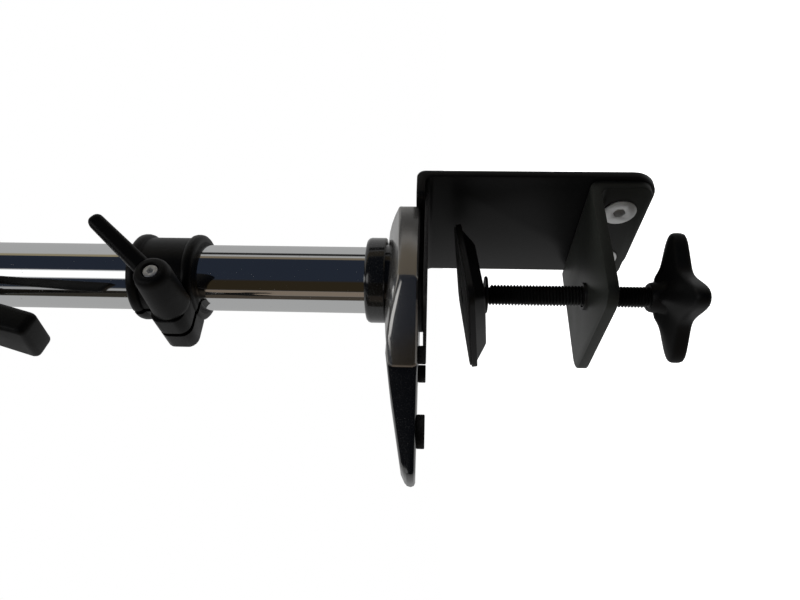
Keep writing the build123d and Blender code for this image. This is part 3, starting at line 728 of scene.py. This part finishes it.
class MONITORARM_OT_clamp_screw(bpy.types.Operator):
    """Makes the threaded clamp screw with its neck and ball"""

    bl_idname = "monitorarm.clamp_screw"
    bl_label = "Clamp screw"

    def execute(self, context):
        pitch = context.scene.clamp_settings.pitch
        thread = self.thread(pitch, -117.0, -28.4)
        radius = 5.5
        profile = [(4.0, -30.0), (3.6, -29.6)]
        for degrees in range(-49, 90, 10):
            turn = math.radians(degrees)
            profile.append((radius * math.cos(turn), BALL_Z + radius * math.sin(turn)))
        ball = turned("ball", profile, 40)
        smoothed(ball)
        placed(ball, SCREW_AXIS)
        only(thread)
        ball.select_set(True)
        bpy.ops.object.join()
        fitted(thread, FINISHES["dark_screw_steel"], "clamp_screw", "dark_screw_steel", "clamp_screw")
        return {"FINISHED"}

    def thread(self, pitch, low, high):
        """A rolled thread: a vee of two edges wound up the screw."""
        depth = 0.61 * pitch
        bpy.ops.mesh.primitive_plane_add(size=1, rotation=(math.pi / 2, 0, 0))
        piece = settled("clamp_thread")
        with Editing(piece) as edit:
            bpy.ops.mesh.select_all(action="SELECT")
            bpy.ops.transform.rotate(value=math.pi / 4, orient_axis="Y", center_override=(0, 0, 0))
            edit.pick("VERT", lambda v, at: at.x < -100)
            bpy.ops.mesh.delete(type="VERT")
            bpy.ops.mesh.select_all(action="SELECT")
            half = math.sqrt(0.5)
            squeeze = (depth * MM / half, 1, pitch * MM / 2 / half)
            bpy.ops.transform.resize(value=squeeze, center_override=(0, 0, 0))
            start = (5.0 - depth) * MM
            bpy.ops.transform.translate(value=(start, 0, (low + pitch / 2) * MM))
        finished(
            piece,
            "SCREW",
            screw_offset=pitch * MM,
            iterations=round((high - low) / pitch) - 1,
            steps=28,
            render_steps=28,
            use_merge_vertices=True,
            merge_threshold=0.000002,
        )
        with Editing(piece):
            bpy.ops.mesh.select_all(action="SELECT")
            bpy.ops.mesh.remove_doubles(threshold=0.000002)
            bpy.ops.mesh.fill_holes(sides=0)
            bpy.ops.mesh.select_all(action="SELECT")
            bpy.ops.mesh.normals_make_consistent(inside=False)
        smoothed(piece, 30)
        placed(piece, SCREW_AXIS)
        return piece


class MONITORARM_OT_knob(bpy.types.Operator):
    """Makes the four-lobed knob under the jaw"""

    bl_idname = "monitorarm.knob"
    bl_label = "Clamp knob"

    def execute(self, context):
        reach = context.scene.clamp_settings.knob_reach
        shares = (1.0, 0.95, 0.78, 0.66, 0.585, 0.54, 0.525)
        steps = [(0.45, -120.7), (0.84, -119.9), (0.97, -119.2), (1.0, -118.2), (1.0, -113.6)]
        steps += [(0.97, -112.5), (0.84, -111.4), (0.66, -110.2)]
        steps += [(0.50, -109.0), (0.38, -107.4), (0.30, -105.2)]
        first, low = steps[0]
        bpy.ops.mesh.primitive_circle_add(
            vertices=48, radius=reach * MM, location=(0, 0, low * MM), fill_type="NGON"
        )
        piece = settled("clamp_knob")
        with Editing(piece) as edit:
            for ring, share in enumerate(shares):
                edit.pick("VERT", lambda v, at: ring == lobe_step(at))
                bpy.ops.transform.resize(value=(share, share, 1), center_override=(0, 0, low * MM))
            bpy.ops.mesh.select_all(action="SELECT")
            bpy.ops.transform.resize(value=(first, first, 1), center_override=(0, 0, low * MM))
            for (s0, z0), (s1, z1) in zip(steps, steps[1:]):
                bpy.ops.mesh.extrude_region_move()
                bpy.ops.transform.translate(value=(0, 0, (z1 - z0) * MM))
                bpy.ops.transform.resize(value=(s1 / s0, s1 / s0, 1), center_override=(0, 0, z1 * MM))
        outward(piece)
        finished(piece, "SUBSURF", levels=1, render_levels=1)
        rings = [(10.6, -120.9), (10.6, -112), (8.6, -108.4), (7.4, -106.4), (6.9, -103.8), (6.4, -103.0)]
        hub = turned("hub", rings)
        combined(piece, hub)
        combined(piece, rod("bore", 5.05, (0, 0, -117), (0, 0, -100)), "DIFFERENCE")
        combined(piece, rod("seat", 8.1, (0, 0, -122), (0, 0, -119)), "DIFFERENCE")
        smoothed(piece, 42)
        turn = Matrix.Rotation(math.radians(-33), 4, "Z")
        placed(piece, SCREW_AXIS @ turn)
        fitted(piece, FINISHES["knob_plastic"], "clamp_screw", "knob_plastic", "knob")
        cap = turned("knob_plug", [(7.9, -119.0), (7.9, -120.4), (7.3, -120.9), (5.4, -121.0), (5.0, -120.7)])
        smoothed(cap)
        placed(cap, SCREW_AXIS)
        fitted(cap, FINISHES["knob_plastic"], "clamp_screw", "knob_plastic", "knob_cap")
        return {"FINISHED"}


def lobe_step(at):
    """How many 7.5 degree steps a point stands from the nearest lobe's middle."""
    turn = math.degrees(math.atan2(at.y, at.x)) % 90
    return round(min(turn, 90 - turn) / 7.5)


def tipped(sizes):
    """The press plate's place: turned about the screw, then tipped on its ball."""
    ball = Vector((0, SCREW_Y * MM, BALL_Z * MM))
    sight = math.radians(-33)
    turn = Matrix.Rotation(math.radians(12), 4, "Z")
    tip = Matrix.Rotation(sizes.plate_tilt, 4, Vector((math.cos(sight), math.sin(sight), 0)))
    return Matrix.Translation(ball) @ tip @ turn @ Matrix.Translation((0, 0, -BALL_Z * MM))


class MONITORARM_OT_press_plate(bpy.types.Operator):
    """Makes the dished square press plate, its facing and its retainer"""

    bl_idname = "monitorarm.press_plate"
    bl_label = "Press plate"

    def execute(self, context):
        sizes = context.scene.clamp_settings
        plate = block("press_dish", (-26, -26, -19.8), (26, 26, -17.3))
        rounded(plate, 7.0, 6, lambda e, at: runs_along(e, "Z"))
        with Editing(plate) as edit:
            edit.pick("FACE", lambda f, at: f.normal.z < -0.9)
            bpy.ops.mesh.inset(thickness=2.4 * MM)
            bpy.ops.mesh.extrude_region_move()
            bpy.ops.transform.translate(value=(0, 0, -4.4 * MM))
            bpy.ops.transform.resize(value=(0.80, 0.80, 1))
            bpy.ops.mesh.extrude_region_move()
            bpy.ops.transform.translate(value=(0, 0, -1.0 * MM))
            bpy.ops.transform.resize(value=(0.93, 0.93, 1))
        outward(plate)
        combined(plate, rod("socket", 5.62, (0, 0, -26), (0, 0, -16)), "DIFFERENCE")
        combined(plate, rod("seat", 9.1, (0, 0, -26), (0, 0, -24.0)), "DIFFERENCE")
        eased(plate, 0.6, 3)
        placed(plate, tipped(sizes))
        fitted(plate, FINISHES["press_paint"], "press_plate", "press_paint", "press_plate")
        pad = block("press_facing", (-25, -25, -17.3), (25, 25, -16.5))
        rounded(pad, 6.0, 5, lambda e, at: runs_along(e, "Z"))
        combined(pad, rod("hole", 4.0, (0, 0, -18), (0, 0, -16)), "DIFFERENCE")
        eased(pad, 0.2)
        placed(pad, tipped(sizes))
        fitted(pad, FINISHES["pad_rubber"], "press_plate", "pad_rubber", "press_pad")
        ring = [(5.33, -25.2), (8.5, -25.2), (9.0, -24.8), (9.0, -24.0), (5.33, -24.0)]
        keeper = turned("ball_keeper", ring, 48, True)
        smoothed(keeper)
        placed(keeper, tipped(sizes))
        fitted(keeper, FINISHES["bright_zinc"], "press_plate", "bright_zinc", "ball_retainer")
        washer_ring = [(3.65, -28.2), (8.5, -28.2), (8.8, -27.9), (8.8, -27.3), (8.5, -27.0), (3.65, -27.0)]
        washer = turned("thrust_ring", washer_ring, 48, True)
        smoothed(washer)
        placed(washer, SCREW_AXIS)
        fitted(washer, FINISHES["dark_screw_steel"], "screw_carriage", "bright_zinc", "thrust_washer")
        return {"FINISHED"}


# ---------------------------------------------------------------- base and pole


class MONITORARM_OT_base(bpy.types.Operator):
    """Makes the lacquered cover, the black foot and the ring round the pole"""

    bl_idname = "monitorarm.base"
    bl_label = "Base"

    def execute(self, context):
        sizes = context.scene.base_settings
        self.cover(sizes)
        self.foot(sizes)
        self.ring(sizes)
        return {"FINISHED"}

    def plan(self, piece, share=1.0):
        """Cuts a block to the six-sided plan of the cover."""
        for sign in (-1, 1):
            cut(piece, (sign * 30 * share, 22 * share, 0), (sign * 44, 3.5, 0))
            cut(piece, (sign * 33.5 * share, -22 * share, 0), (sign * 31, -21, 0))

    def crown(self, piece, height):
        """Cuts the top to a shallow barrel that also falls away to the front."""
        half, drop = 34.0, 7.5
        radius = (half * half + drop * drop) / (2 * drop)
        cut(piece, (0, -20, height), (0, -0.1, 1))
        for x in (9, 16, 22, 27, 31.5):
            slope = math.asin(x / radius)
            z = height - radius * (1 - math.cos(slope))
            for sign in (-1, 1):
                cut(piece, (sign * x, 0, z), (sign * math.sin(slope), 0, math.cos(slope)))

    def cover(self, sizes):
        piece = block("cover_shell", (-33.5, -53, 3.4), (33.5, 22, 19.3))
        self.plan(piece)
        self.crown(piece, 19.3)
        outward(piece)
        eased(piece, sizes.cover_edge, 3, 30, 24)
        hollow = block("hollow", (-29.5, -48.5, 2), (29.5, 19.5, 12.2))
        self.plan(hollow, 0.9)
        combined(piece, hollow, "DIFFERENCE")
        combined(piece, rod("hole", 17.4, (0, 0, 0), (0, 0, 30), segments=72), "DIFFERENCE")
        combined(piece, block("slot", (-12.1, -60, 0), (12.1, -45, 30)), "DIFFERENCE")
        combined(piece, block("step", (-26.3, 10, 0), (26.3, 30, 5.7)), "DIFFERENCE")
        smoothed(piece, 24)
        fitted(piece, FINISHES["silver_cover"], "base", "silver_cover", "base_cover")

    def foot(self, sizes):
        piece = block("foot_arm", (-12, -97, 3.4), (12, -20, 17.4))
        cut(piece, (0, -45, 17.4), (0, -2.2, 15))
        cut(piece, (0, -60, 15.2), (0, -5.8, 32))
        cut(piece, (0, -92, 9.4), (0, -2.4, 5))
        for sign in (-1, 1):
            cut(piece, (sign * 12, -56, 0), (sign * 42, -3.5, 0))
        outward(piece)
        eased(piece, sizes.foot_edge, 2, 40, 30)
        plate = block("plate", (-29, -47.5, 3.4), (29, 19, 11.0))
        self.plan(plate, 0.88)
        combined(plate, block("recess", (-26.4, -15.4, 0), (26.4, 30, 5.6)), "DIFFERENCE")
        combined(piece, plate)
        boss = rod("boss", 21, (0, 0, 5.6), (0, 0, 16.4), segments=72)
        combined(piece, boss)
        combined(piece, rod("bore", 16.0, (0, 0, 9), (0, 0, 30), segments=72), "DIFFERENCE")
        combined(piece, rod("bolt", 5.5, (0, 0, 0), (0, 0, 12)), "DIFFERENCE")
        smoothed(piece, 30)
        fitted(piece, FINISHES["base_black"], "base", "base_black", "base_body")

    def ring(self, sizes):
        outer = sizes.ring_radius
        profile = [(16.0, 17.4), (17.2, 17.4), (17.3, 19.3), (outer - 0.6, 19.35), (outer, 19.9)]
        profile += [(outer, 26.6), (outer - 0.35, 27.7), (outer - 1.2, 28.5), (outer - 2.4, 28.8)]
        profile += [(17.4, 28.8), (16.7, 28.4), (16.0, 27.8)]
        piece = turned("pole_trim", profile, 96, True)
        smoothed(piece, 35)
        fitted(piece, FINISHES["ring_black"], "base", "ring_black", "pole_ring")


# ---------------------------------------------------------------- collar, sleeve and levers


class MONITORARM_OT_collar(bpy.types.Operator):
    """Makes the split collar that carries the small lever"""

    bl_idname = "monitorarm.collar"
    bl_label = "Height collar"

    def execute(self, context):
        box_low, box_high = (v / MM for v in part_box("height_collar"))
        rim = context.scene.collar_settings.rim
        low, high = box_low.z, box_high.z
        wide = 11.5
        body, rise = rim - 1.6, 5.4
        bead = [(rim - 2.0, 0.0), (rim - 0.9, 0.35), (rim - 0.25, 1.1), (rim, 2.1)]
        bead += [(rim, 3.3), (rim - 0.3, 4.4), (rim - 0.9, 5.05), (body, rise)]
        profile = [(17.55, low)] + [(radius, low + up) for radius, up in bead]
        profile += [(radius, high - up) for radius, up in reversed(bead)] + [(17.55, high)]
        piece = turned("collar_spool", profile, 96, True)
        ears = block("ears", (-wide, box_low.y, low + 0.6), (wide, -17.0, low + 16))
        rounded(ears, 5.0, 5, lambda e, at: runs_along(e, "X") and near(at, y=box_low.y))
        rounded(ears, 1.5, 3, lambda e, at: runs_along(e, "Z"))
        eased(ears, 0.5)
        combined(piece, ears)
        combined(piece, block("slit", (-1.3, box_low.y - 1, low - 1), (1.3, 0, high + 1)), "DIFFERENCE")
        combined(piece, rod("stud", 3.05, (-20, STUD.y, STUD.z), (20, STUD.y, STUD.z)), "DIFFERENCE")
        pocket = rod("pocket", 5.85, (-wide - 1, STUD.y, STUD.z), (-wide + 4.2, STUD.y, STUD.z), segments=6)
        combined(piece, pocket, "DIFFERENCE")
        seat = rod("seat", 9.0, (wide, STUD.y, STUD.z), (wide + 20, STUD.y, STUD.z), segments=72)
        combined(piece, seat, "DIFFERENCE")
        smoothed(piece, 35)
        fitted(piece, FINISHES["collar_black"], "height_collar", "collar_black", "height_collar")
        return {"FINISHED"}


def lever(name, base_radius, nose, reach, rise, widths, thick):
    """A tapering barrel about X with a bored middle, and an arm from its outer end."""
    length = 27.0
    head_bore, insert_bore = 3.6, 5.6
    insert_start, insert_end, head_start = 1.4, 16.2, 18.4
    outside = [(6.8, 0.3), (base_radius - 0.5, 0.3), (base_radius, 0.9), (base_radius, 2.6)]
    outside += [(nose + 0.9, length - 4.2), (nose + 0.55, length - 2.2), (nose - 0.2, length - 0.7)]
    outside += [(nose - 1.3, length), (4.0, length), (head_bore, length - 0.5)]
    inside = [(head_bore, head_start), (2.4, head_start), (2.4, insert_end)]
    inside += [(insert_bore, insert_end), (insert_bore, insert_start), (6.8, insert_start)]
    barrel = turned(name, outside + inside, 64, True)
    root = Vector((length - nose - 0.5, 0, 0))
    run = Vector((length + rise, 0, reach)) - root
    arm = block("arm", (-widths[0] / 2, -thick / 2, 4.4), (widths[0] / 2, thick / 2, run.length))
    with Editing(arm) as edit:
        edit.pick("FACE", lambda f, at: f.normal.z > 0.9)
        bpy.ops.transform.resize(value=(widths[1] / widths[0], 0.8, 1))
    tip = min(widths[1] * 0.42, 3.6)
    rounded(arm, tip, 6, lambda e, at: runs_along(e, "Y") and at.z > run.length - 1)
    eased(arm, min(thick * 0.26, 2.4), 4, 40)
    across = Vector((0, 1, 0))
    ahead = run.normalized()
    turn = Matrix([across, ahead.cross(across), ahead]).transposed().to_4x4()
    upright = Matrix.Rotation(math.pi / 2, 4, "Y")
    placed(arm, Matrix.Translation(root * MM) @ turn)
    placed(barrel, upright)
    combined(barrel, arm)
    combined(barrel, rod("clear", head_bore, (head_start, 0, 0), (50, 0, 0)), "DIFFERENCE")
    room = rod("clear", insert_bore, (insert_start, 0, 0), (insert_end, 0, 0))
    combined(barrel, room, "DIFFERENCE")
    smoothed(barrel, 40)
    return barrel


def box_of(node):
    """A node's low corner, high corner and middle, in millimetres."""
    low, high = (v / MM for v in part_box(node))
    return low, high, (low + high) / 2


STUD = box_of("collar_nut")[2]
SLEEVE_STUD = box_of("sleeve_nut")[2]


class MONITORARM_OT_levers(bpy.types.Operator):
    """Makes the small lever on the collar and the large one on the sleeve"""

    bl_idname = "monitorarm.levers"
    bl_label = "Clamp levers"

    def execute(self, context):
        sizes = context.scene.collar_settings
        small = lever("small_lever", 8.6, 7.0, sizes.lever_reach, 7.0, (7.8, 6.6), 7.4)
        ear = box_of("lever_insert")[1].x - 12.0
        seat = Matrix.Translation(Vector((ear, STUD.y, STUD.z)) * MM)
        placed(small, seat @ Matrix.Rotation(math.radians(-38), 4, "X"))
        fitted(small, FINISHES["lever_plastic"], "collar_lever", "lever_plastic", "lever_handle")
        large = lever("large_lever", 10.0, 7.6, sizes.paddle_reach, 6.0, (13.0, 24.0), 13.6)
        ear = box_of("sleeve_lever_insert")[0].y + 12.0
        seat = Matrix.Translation(Vector((SLEEVE_STUD.x, ear, SLEEVE_STUD.z)) * MM)
        swing = Matrix.Rotation(math.radians(10.5), 4, "Y")
        facing = Matrix.Rotation(math.radians(-90), 4, "Z")
        placed(large, seat @ swing @ facing @ Matrix.Rotation(math.pi, 4, "X"))
        fitted(large, FINISHES["lever_plastic"], "sleeve_lever", "lever_plastic", "sleeve_lever_handle")
        return {"FINISHED"}


# ---------------------------------------------------------------- arm, head and small parts


EDGED_NODES = {
    "arm_sleeve": 0.8,
    "inner_arm": 0.8,
    "outer_arm": 0.8,
    "head_yoke": 0.8,
    "tilt_block": 0.6,
    "monitor_plate": 0.5,
    "inner_cable_clip": 0.4,
    "outer_cable_clip": 0.4,
    "pole_cap": 0.4,
    "shoulder_caps": 0.6,
    "elbow_caps": 0.6,
    "wrist_caps": 0.6,
    "tilt_bolt": 0.4,
    "tilt_nut": 0.4,
    "jaw_nuts": 0.4,
    "jaw_screws": 0.25,
    "lever_screw": 0.25,
    "sleeve_lever_screw": 0.25,
    "foot_pads": 0.4,
    "desk_pad": 0.25,
    "thread_nut": 0.4,
    "turn_disc": 0.3,
}


class MONITORARM_OT_arm(bpy.types.Operator):
    """Breaks the edges of the sleeve, links, head and small parts"""

    bl_idname = "monitorarm.arm"
    bl_label = "Arm and head"

    def execute(self, context):
        slots = {part["node"]: part["material_slot"] for part in frame["record"]["subparts"]}
        bodies = frame["record"]["behaviour"]["bodies"]
        carrier = {node: body for body, nodes in bodies.items() for node in nodes}
        for node, width in EDGED_NODES.items():
            piece = stand_in_copy(node, node + "_edged", width)
            finish = "dark_screw_steel" if node == "thread_nut" else slots[node]
            fitted(piece, FINISHES[finish], carrier[node], slots[node], node)
        return {"FINISHED"}


class MONITORARM_OT_finishes(bpy.types.Operator):
    """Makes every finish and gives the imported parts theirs"""

    bl_idname = "monitorarm.finishes"
    bl_label = "Finishes"

    def execute(self, context):
        make_finishes()
        for part in frame["record"]["subparts"]:
            node = frame["nodes"][part["node"]]
            for slot in node.material_slots:
                slot.material = FINISHES[part["material_slot"]]
        return {"FINISHED"}


# ---------------------------------------------------------------- stage


class MONITORARM_OT_stage(bpy.types.Operator):
    """Sets the floor, the light and the camera"""

    bl_idname = "monitorarm.stage"
    bl_label = "Stage"

    def execute(self, context):
        sizes = context.scene.studio_settings
        self.camera(context.scene, sizes)
        self.floor(sizes)
        self.sky(context.scene, sizes.azimuth)
        self.lamps()
        return {"FINISHED"}

    def camera(self, scene, sizes):
        flat = math.cos(sizes.elevation)
        back = Vector((
            math.sin(sizes.azimuth) * flat,
            -math.cos(sizes.azimuth) * flat,
            math.sin(sizes.elevation),
        ))
        right = Vector((0, 0, 1)).cross(back).normalized()
        up = back.cross(right)
        level = Matrix([right, up, back]).transposed()
        bpy.ops.object.camera_add(location=Vector(sizes.aim) + back * sizes.distance)
        camera = bpy.context.object
        camera.name = "camera"
        camera.rotation_euler = (level @ Matrix.Rotation(sizes.roll, 3, "Z")).to_euler()
        camera.data.lens = sizes.lens
        camera.data.sensor_width = 36.0
        camera.data.clip_start = 0.01
        scene.camera = camera
        scene.view_settings.view_transform = "Standard"

    def floor(self, sizes):
        bpy.ops.mesh.primitive_plane_add(size=12, location=(0, 0, sizes.floor_height))
        floor = settled("floor")
        f = Finish("pale_floor")
        tone = f.noise(3, 3.0)
        material = f.surface(
            Base_Color=f.blend(tone, grey(0.86), grey(0.9)),
            Roughness=0.9,
            Emission_Color=grey(1.0),
            Emission_Strength=1.0,
        )
        floor.data.materials.append(material)
        floor.visible_glossy = False
        floor.visible_diffuse = False

    def sky(self, scene, azimuth):
        """A white surround, with a dark room and a bright strip for the chrome to mirror."""
        world = bpy.data.worlds.new("studio")
        scene.world = world
        world.use_nodes = True
        f = Finish("studio", world.node_tree)
        look = f.add("ShaderNodeTexCoord", output="Generated")
        turn, height = self.turn_about_pole(f, look, azimuth)
        far = height.above(0.41, 0.03)
        near_side = 1.0 - far

        def band(start, end, soft=1.5):
            return turn.above(start, soft) * (1.0 - turn.above(end, soft))

        navy = (0.017, 0.022, 0.034, 1.0)
        colour = f.blend(band(-98, -87, 2.0) * near_side, grey(0.40), grey(0.02))
        tan = f.blend(far, (0.17, 0.14, 0.10, 1.0), (0.27, 0.23, 0.15, 1.0))
        colour = f.blend(band(-83, -66), colour, tan)
        colour = f.blend(band(-66, 44, 2.5), colour, navy)
        colour = f.blend(band(8, 44, 4.0) * near_side, colour, (0.024, 0.018, 0.010, 1.0))
        colour = f.blend(band(44, 61) * near_side, colour, (0.20, 0.16, 0.125, 1.0))
        colour = f.blend(band(61, 77) * near_side, colour, (0.055, 0.045, 0.035, 1.0))
        colour = f.blend(band(44, 80, 2.0) * far, colour, (0.028, 0.025, 0.02, 1.0))
        colour = f.blend(band(45, 53) * far, colour, grey(0.34))
        colour = f.blend(band(-17, 9, 4.0) * far, colour, grey(1.25))
        seen = f.add("ShaderNodeLightPath", output="Is Camera Ray")
        colour = f.blend(seen, colour, grey(1.0))
        shade = f.add("ShaderNodeBackground", {}, {"Color": colour, "Strength": 1.0})
        f.add("ShaderNodeOutputWorld", {}, {"Surface": shade})

    def turn_about_pole(self, f, look, azimuth):
        """Degrees round the pole from the camera's side, positive over the desk, and the height."""
        x, y, z = (f.add("ShaderNodeSeparateXYZ", {}, [look], output=axis) for axis in "XYZ")
        sine, cosine = math.sin(azimuth), math.cos(azimuth)
        front = x * sine - y * cosine
        side = x * -cosine - y * sine
        turn = side.math("ARCTAN2", front) * (180 / math.pi)
        return turn, z

    def lamps(self):
        lamp("key", (0.25, 0.9, 0.35), 0.7, 7.0)
        lamp("fill", (-0.3, -1.0, 0.5), 0.9, 4.0)


def lamp(name, place, size, power):
    """A soft square light that faces the middle of the base."""
    aim = Vector((0, 0, 0))
    place = Vector(place)
    bpy.ops.object.light_add(type="AREA", location=place)
    light = bpy.context.object
    light.name = name
    light.rotation_euler = (aim - place).to_track_quat("-Z", "Y").to_euler()
    light.data.size = size
    light.data.energy = power
    light.visible_glossy = False


# ---------------------------------------------------------------- panel and start


class MONITORARM_PT_panel(bpy.types.Panel):
    """Lists the sizes and the steps that make the monitor arm"""

    bl_label = "Monitor arm"
    bl_idname = "MONITORARM_PT_panel"
    bl_space_type = "VIEW_3D"
    bl_region_type = "UI"
    bl_category = "Monitor arm"

    def draw(self, context):
        for title in SETTINGS:
            settings = getattr(context.scene, title)
            column = self.layout.column(align=True)
            for key in settings.bl_rna.properties.keys():
                if key not in ("rna_type", "name"):
                    column.prop(settings, key)
        for step in STEPS:
            self.layout.operator(step.bl_idname)


SETTINGS = {
    "clamp_settings": ClampSettings,
    "base_settings": BaseSettings,
    "collar_settings": CollarSettings,
    "studio_settings": StudioSettings,
}

STEPS = (
    MONITORARM_OT_finishes,
    MONITORARM_OT_brackets,
    MONITORARM_OT_clamp_screw,
    MONITORARM_OT_knob,
    MONITORARM_OT_press_plate,
    MONITORARM_OT_base,
    MONITORARM_OT_collar,
    MONITORARM_OT_levers,
    MONITORARM_OT_arm,
    MONITORARM_OT_stage,
)


def register():
    for kind in (*SETTINGS.values(), *STEPS, MONITORARM_PT_panel):
        bpy.utils.register_class(kind)
    for title, kind in SETTINGS.items():
        setattr(bpy.types.Scene, title, bpy.props.PointerProperty(type=kind))


def unregister():
    for title in SETTINGS:
        delattr(bpy.types.Scene, title)
    for kind in reversed((*SETTINGS.values(), *STEPS, MONITORARM_PT_panel)):
        bpy.utils.unregister_class(kind)


def main():
    register()
    for step in STEPS:
        group, call = step.bl_idname.split(".")
        getattr(getattr(bpy.ops, group), call)()


if __name__ == "__main__":
    main()
